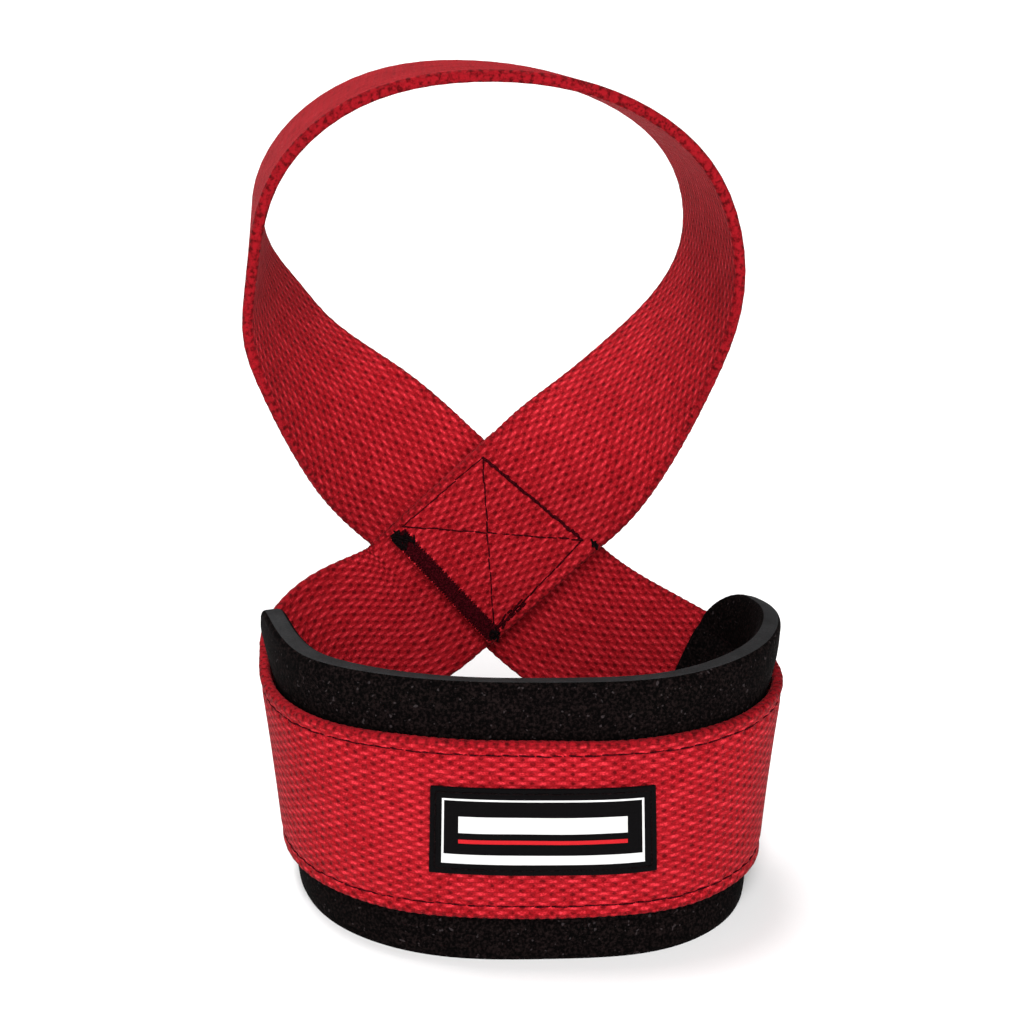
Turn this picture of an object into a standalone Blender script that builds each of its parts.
"""Figure-eight lifting strap with a padded wrist loop and a plain woven label."""
import math

import bmesh
import bpy
import numpy as np

# Driving sizes, in metres
WEBBING_WIDTH = 0.038
WEBBING_THICKNESS = 0.0026
PAD_HEIGHT = 0.060
PAD_THICKNESS = 0.0050
PAD_TOP_CORNER = 0.014
PAD_BASE_CORNER = 0.006
PAD_EDGE_RADIUS = 0.0012
PAD_CENTRE_LIFT = 0.0008
PAD_LEFT_LIFT = 0.0046
PAD_RIGHT_DROP = 0.0036
PAD_LIFT_REACH = 0.034
PAD_LEFT_END = 0.172
PAD_RIGHT_END = 0.860
PAD_FLAT_DEPTH = 0.0007
LABEL_LENGTH = 0.0457
LABEL_HEIGHT = 0.0186
LABEL_SHIFT = -0.0040
LABEL_LIFT = 0.0004
LABEL_THICKNESS = 0.0008
LABEL_EDGE_RADIUS = 0.0003
PIECE_GAP = 0.00035
STATION_STEP = 0.0055
SELVEDGE_ROUNDING = 0.98
CORNER_STEPS = 5
LEAST_SPACING = 0.0015
POINT_MERGE = 1e-6
SMOOTH_BELOW = 35.0

# Loop sizes that the section tables share out, in metres
LOOP_HALF_WIDTH = 0.057
LOOP_DEPTH = 0.042
LOOP_HEIGHT = 0.176

# Sewn crossing: centre as shares, angles in degrees, lengths from its centre in metres
CROSSING_SIDE = -0.16
CROSSING_BACK = 0.90
CROSSING_UP = 0.356
CROSSING_SLOPE = 42.5
CROSSING_LEAN = 10.0
CROSSING_STRAIGHT = 0.0210
HIDDEN_END = 0.0205
FRONT_END = 0.0150

# Wrist loop sections, from the crossing round the front and back to the crossing
COLUMNS = ("side", "back", "up", "swing", "tilt")
WRIST_SECTIONS = (
    (-0.75, 0.64, 0.232, 166, 60),
    (-0.93, 0.26, 0.184, 176, 76),
    (-0.96, -0.16, 0.168, 180, 84.5),
    (-0.78, -0.66, 0.166, 120, 86),
    (-0.37, -0.95, 0.166, 90, 82),
    (0.10, -1.00, 0.166, 88, 82),
    (0.57, -0.91, 0.166, 80, 83),
    (0.90, -0.50, 0.166, 50, 84),
    (0.92, 0.12, 0.166, 20, 76),
    (0.63, 0.64, 0.182, 22, 58),
)

# Hand loop sections, from the crossing up the left side, over the top and down the right side
HAND_SECTIONS = (
    (-0.69, 1.01, 0.522, 50, 35),
    (-0.93, 0.95, 0.624, 75, 19),
    (-1.02, 0.915, 0.685, 82, 14),
    (-1.065, 0.88, 0.745, 93, 10),
    (-0.975, 0.81, 0.876, 97, 6),
    (-0.64, 0.80, 0.968, 95, 3),
    (-0.16, 0.84, 0.994, 96, 0),
    (0.32, 0.92, 0.964, 98, -1),
    (0.69, 1.01, 0.872, 100, 1),
    (0.775, 1.06, 0.730, 106, 4),
    (0.555, 1.04, 0.594, 123, 14),
)

COLOURS = {
    "webbing_strap": (0.42, 0.012, 0.022, 1.0),
    "wrist_pad": (0.012, 0.010, 0.011, 1.0),
    "label_patch": (0.020, 0.020, 0.022, 1.0),
}
ROUGHNESS = {"webbing_strap": 0.85, "wrist_pad": 0.95, "label_patch": 0.70}


def direction(swing, tilt):
    """Unit vector from a compass swing and a tilt above the floor, both in degrees."""
    a = math.radians(swing)
    b = math.radians(tilt)
    return np.array([math.cos(a) * math.cos(b), math.sin(a) * math.cos(b), math.sin(b)])


def table_points(rows):
    """Places and width directions of one section table."""
    places = []
    widths = []
    for row in rows:
        named = dict(zip(COLUMNS, row))
        place = (
            named["side"] * LOOP_HALF_WIDTH,
            named["back"] * LOOP_DEPTH,
            named["up"] * LOOP_HEIGHT,
        )
        places.append(place)
        widths.append(direction(named["swing"], named["tilt"]))
    return np.array(places), np.array(widths)


def crossing_frame():
    """Centre, sideways, upward and frontward directions of the sewn crossing."""
    lean = math.radians(CROSSING_LEAN)
    centre = np.array(
        [
            CROSSING_SIDE * LOOP_HALF_WIDTH,
            CROSSING_BACK * LOOP_DEPTH,
            CROSSING_UP * LOOP_HEIGHT,
        ]
    )
    side = np.array([1.0, 0.0, 0.0])
    up = np.array([0.0, math.sin(lean), math.cos(lean)])
    front = np.array([0.0, -math.cos(lean), math.sin(lean)])
    return centre, side, up, front


def crossing_strand(falling, layer):
    """Centre, run direction and width direction of a strand: layer 1 is in front, -1 behind."""
    centre, side, up, front = crossing_frame()
    slope = math.radians(CROSSING_SLOPE)
    rise = -math.sin(slope) if falling else math.sin(slope)
    run = -math.cos(slope) * side + rise * up
    width = rise * side + math.cos(slope) * up
    step = WEBBING_THICKNESS + PIECE_GAP
    return centre + layer * step * front, run, width


def smooth_curve(knots, values, first, last, at):
    """Smooth curve through the values. An end slope of None leaves that end free."""
    count = len(knots)
    gaps = np.diff(knots)
    matrix = np.zeros((count, count))
    right = np.zeros((count, values.shape[1]))
    matrix[0, 0] = 1.0
    matrix[-1, -1] = 1.0
    if first is None:
        matrix[0, :2] = (2.0, 1.0)
        right[0] = 3.0 * (values[1] - values[0]) / gaps[0]
    else:
        right[0] = first
    if last is None:
        matrix[-1, -2:] = (1.0, 2.0)
        right[-1] = 3.0 * (values[-1] - values[-2]) / gaps[-1]
    else:
        right[-1] = last
    for i in range(1, count - 1):
        before = gaps[i - 1]
        after = gaps[i]
        matrix[i, i - 1] = after
        matrix[i, i] = 2.0 * (before + after)
        matrix[i, i + 1] = before
        climb_before = (values[i] - values[i - 1]) / before
        climb_after = (values[i + 1] - values[i]) / after
        right[i] = 3.0 * (after * climb_before + before * climb_after)
    slopes = np.linalg.solve(matrix, right)
    out = []
    for place in at:
        i = int(np.clip(np.searchsorted(knots, place) - 1, 0, count - 2))
        gap = gaps[i]
        u = (place - knots[i]) / gap
        a = 2 * u**3 - 3 * u**2 + 1
        b = u**3 - 2 * u**2 + u
        c = 3 * u**2 - 2 * u**3
        d = u**3 - u**2
        value = a * values[i] + b * gap * slopes[i] + c * values[i + 1] + d * gap * slopes[i + 1]
        out.append(value)
    return np.array(out)


def curve_between(start, finish, rows):
    """Stations of a free span between two straight strands of the crossing."""
    places, widths = table_points(rows)
    places = np.vstack([start[0], places, finish[0]])
    widths = np.vstack([start[2], widths, finish[2]])
    knots = np.concatenate([[0.0], np.cumsum(np.linalg.norm(np.diff(places, axis=0), axis=1))])
    count = max(2, round(knots[-1] / STATION_STEP))
    at = np.linspace(0.0, knots[-1], count + 1)
    line = smooth_curve(knots, places, start[1], finish[1], at)
    across = smooth_curve(knots, widths, None, None, at)
    return line, across


def straight_run(strand, start, finish):
    """Stations of a straight strand, from one distance to another along its run."""
    centre, run, width = strand
    count = max(1, round(abs(finish - start) / STATION_STEP))
    steps = np.linspace(start, finish, count + 1)
    line = centre + steps[:, None] * run
    return line, np.tile(width, (count + 1, 1))


def webbing_path():
    """Stations of the whole strip, from its hidden end to its front end, and the wrist span's place."""
    lower_end = crossing_strand(True, 0)
    through = crossing_strand(False, -1)
    upper_end = crossing_strand(True, 1)
    s = CROSSING_STRAIGHT
    spans = [straight_run(lower_end, -HIDDEN_END, s)]
    leave = (lower_end[0] + s * lower_end[1], lower_end[1], lower_end[2])
    arrive = (through[0] - s * through[1], through[1], through[2])
    spans.append(curve_between(leave, arrive, WRIST_SECTIONS))
    spans.append(straight_run(through, -s, s))
    leave = (through[0] + s * through[1], through[1], through[2])
    arrive = (upper_end[0] - s * upper_end[1], upper_end[1], upper_end[2])
    spans.append(curve_between(leave, arrive, HAND_SECTIONS))
    spans.append(straight_run(upper_end, -s, FRONT_END))
    wrist_start = len(spans[0][0]) - 1
    wrist_count = len(spans[1][0])
    line = [spans[0][0]]
    across = [spans[0][1]]
    for more_line, more_across in spans[1:]:
        line.append(more_line[1:])
        across.append(more_across[1:])
    return np.vstack(line), np.vstack(across), (wrist_start, wrist_start + wrist_count)


def frames(line, across):
    """Width and outward directions at each station, square to the run and to each other."""
    run = np.gradient(line, axis=0)
    run = run / np.linalg.norm(run, axis=1)[:, None]
    width = across - (across * run).sum(axis=1)[:, None] * run
    width = width / np.linalg.norm(width, axis=1)[:, None]
    return width, np.cross(run, width)


def band_section(below, above, half_thickness, edge_radius, arc_steps, face_steps):
    """Outline of a flat band, as offsets across it and through it."""
    flat_through = half_thickness - edge_radius
    ends = {1: above - edge_radius, -1: edge_radius - below}
    outline = []
    corners = ((1, -1, -90), (1, 1, 0), (-1, 1, 90), (-1, -1, 180))
    for across_sign, through_sign, start in corners:
        for k in range(arc_steps + 1):
            angle = math.radians(start + 90.0 * k / arc_steps)
            across = ends[across_sign] + edge_radius * math.cos(angle)
            through = through_sign * flat_through + edge_radius * math.sin(angle)
            outline.append((across, through))
        if start in (0, 180):
            near = outline[-1]
            for k in range(1, face_steps):
                step = across_sign * (ends[-1] - ends[1]) * k / face_steps
                outline.append((near[0] + step, near[1]))
    clean = [outline[0]]
    for point in outline[1:]:
        if math.dist(point, clean[-1]) > POINT_MERGE:
            clean.append(point)
    if math.dist(clean[0], clean[-1]) < POINT_MERGE:
        clean.pop()
    return np.array(clean)


def sweep(name, line, width, normal, sections):
    """A closed solid through one outline a station; all outlines have the same point count."""
    work = bmesh.new()
    rings = []
    for place, across, through, outline in zip(line, width, normal, sections):
        points = place + outline[:, :1] * across + outline[:, 1:] * through
        rings.append([work.verts.new(point) for point in points])
    for low, high in zip(rings, rings[1:]):
        for j in range(len(low)):
            work.faces.new((low[j - 1], high[j - 1], high[j], low[j]))
    work.faces.new(rings[0])
    work.faces.new(rings[-1][::-1])
    mesh = bpy.data.meshes.new(name)
    work.to_mesh(mesh)
    work.free()
    solid = bpy.data.objects.new(name, mesh)
    bpy.context.scene.collection.objects.link(solid)
    return solid


def finish_mesh(solid):
    """Cuts the faces into triangles, turns them outward and shades the round stretches smooth."""
    work = bmesh.new()
    work.from_mesh(solid.data)
    bmesh.ops.triangulate(work, faces=work.faces[:])
    bmesh.ops.recalc_face_normals(work, faces=work.faces[:])
    work.to_mesh(solid.data)
    work.free()
    solid.data.shade_smooth()
    solid.data.set_sharp_from_angle(angle=math.radians(SMOOTH_BELOW))


def paint(solid):
    """One plain material of the piece's own."""
    material = bpy.data.materials.new(solid.name + "_material")
    material.use_nodes = True
    shader = material.node_tree.nodes["Principled BSDF"]
    shader.inputs["Base Color"].default_value = COLOURS[solid.name]
    shader.inputs["Roughness"].default_value = ROUGHNESS[solid.name]
    material.diffuse_color = COLOURS[solid.name]
    solid.data.materials.append(material)


def webbing_strap(line, width, normal):
    """The whole strip, with both ends in the crossing."""
    half = WEBBING_THICKNESS / 2
    rounding = half * SELVEDGE_ROUNDING
    outline = band_section(WEBBING_WIDTH / 2, WEBBING_WIDTH / 2, half, rounding, 3, 5)
    return sweep("webbing_strap", line, width, normal, [outline] * len(line))


def distances(line, wrist):
    """Distance of each wrist station from the start of the wrist span."""
    steps = np.linalg.norm(np.diff(line[wrist[0] : wrist[1]], axis=0), axis=1)
    return np.concatenate([[0.0], np.cumsum(steps)])


def sample(values, where):
    """Values at fractional station numbers, in straight steps."""
    low = np.clip(np.floor(where).astype(int), 0, len(values) - 2)
    share = (where - low)[:, None]
    return values[low] * (1 - share) + values[low + 1] * share


def corner_loss(reach, radius):
    """How far a rounded corner lowers the edge at this distance from the end."""
    inside = radius - min(reach, radius)
    return radius - math.sqrt(radius**2 - inside**2)


def ease(share):
    """Smooth rise from 0 to 1."""
    held = np.clip(share, 0.0, 1.0)
    return held * held * (3.0 - 2.0 * held)


def wrist_pad(line, width, normal, wrist):
    """The padded lining: a band inside the front of the wrist loop with rounded end corners."""
    run = distances(line, wrist)
    start = PAD_LEFT_END * run[-1]
    finish = PAD_RIGHT_END * run[-1]
    quarter = math.pi / 2
    steps = [1 - math.cos(quarter * k / CORNER_STEPS) for k in range(CORNER_STEPS + 1)]
    near_start = [start + PAD_TOP_CORNER * step for step in steps]
    near_finish = [finish - PAD_TOP_CORNER * step for step in reversed(steps)]
    low = near_start[-1] + LEAST_SPACING
    high = near_finish[0] - LEAST_SPACING
    places = np.array(near_start + [s for s in run if low < s < high] + near_finish)
    numbers = wrist[0] + np.interp(places, run, np.arange(len(run)))
    half_thickness = PAD_THICKNESS / 2
    inward = WEBBING_THICKNESS / 2 + PIECE_GAP + half_thickness
    width = sample(width, numbers)
    normal = sample(normal, numbers)
    centre = sample(line, numbers) - inward * normal
    left = ease((start + PAD_LIFT_REACH - places) / PAD_LIFT_REACH)
    right = ease((places - finish + PAD_LIFT_REACH) / PAD_LIFT_REACH)
    lift = PAD_CENTRE_LIFT + PAD_LEFT_LIFT * left - PAD_RIGHT_DROP * right
    sections = []
    for place, middle_point, across, rise in zip(places, centre, width, lift):
        reach = min(place - start, finish - place)
        above = PAD_HEIGHT / 2 + rise - corner_loss(reach, PAD_TOP_CORNER)
        below = middle_point[2] / across[2] - corner_loss(reach, PAD_BASE_CORNER)
        sections.append(band_section(below, above, half_thickness, PAD_EDGE_RADIUS, 2, 6))
    solid = sweep("wrist_pad", centre, width, normal, sections)
    for vertex in solid.data.vertices:
        if vertex.co.z < PAD_FLAT_DEPTH:
            vertex.co.z = 0.0
    return solid


def label_patch(line, width, normal, wrist):
    """The label: a thin plate that follows the webbing at the middle of the wrist loop."""
    run = distances(line, wrist)
    middle = run[-1] / 2 + LABEL_SHIFT
    start = middle - LABEL_LENGTH / 2
    finish = middle + LABEL_LENGTH / 2
    inner = [s for s in run if start + LEAST_SPACING < s < finish - LEAST_SPACING]
    places = np.array([start] + inner + [finish])
    numbers = wrist[0] + np.interp(places, run, np.arange(len(run)))
    outward = WEBBING_THICKNESS / 2 + PIECE_GAP + LABEL_THICKNESS / 2
    centre = sample(line, numbers) + outward * sample(normal, numbers)
    centre = centre + LABEL_LIFT * sample(width, numbers)
    tall = LABEL_HEIGHT / 2
    outline = band_section(tall, tall, LABEL_THICKNESS / 2, LABEL_EDGE_RADIUS, 2, 4)
    outlines = [outline] * len(places)
    return sweep("label_patch", centre, sample(width, numbers), sample(normal, numbers), outlines)


def settle(solids):
    """Hangs the pieces on one empty, placed so that their box stands centred over the origin."""
    points = np.array([tuple(v.co) for solid in solids for v in solid.data.vertices])
    low = points.min(axis=0)
    high = points.max(axis=0)
    place = bpy.data.objects.new("strap_place", None)
    bpy.context.scene.collection.objects.link(place)
    place.location = (-(low[0] + high[0]) / 2, -(low[1] + high[1]) / 2, -low[2])
    for solid in solids:
        solid.parent = place


def clear_scene():
    for old in list(bpy.data.objects):
        bpy.data.objects.remove(old, do_unlink=True)


def build():
    clear_scene()
    bpy.context.scene.unit_settings.scale_length = 1.0
    line, across, wrist = webbing_path()
    width, normal = frames(line, across)
    solids = (
        webbing_strap(line, width, normal),
        wrist_pad(line, width, normal, wrist),
        label_patch(line, width, normal, wrist),
    )
    for solid in solids:
        finish_mesh(solid)
        paint(solid)
    settle(solids)


build()
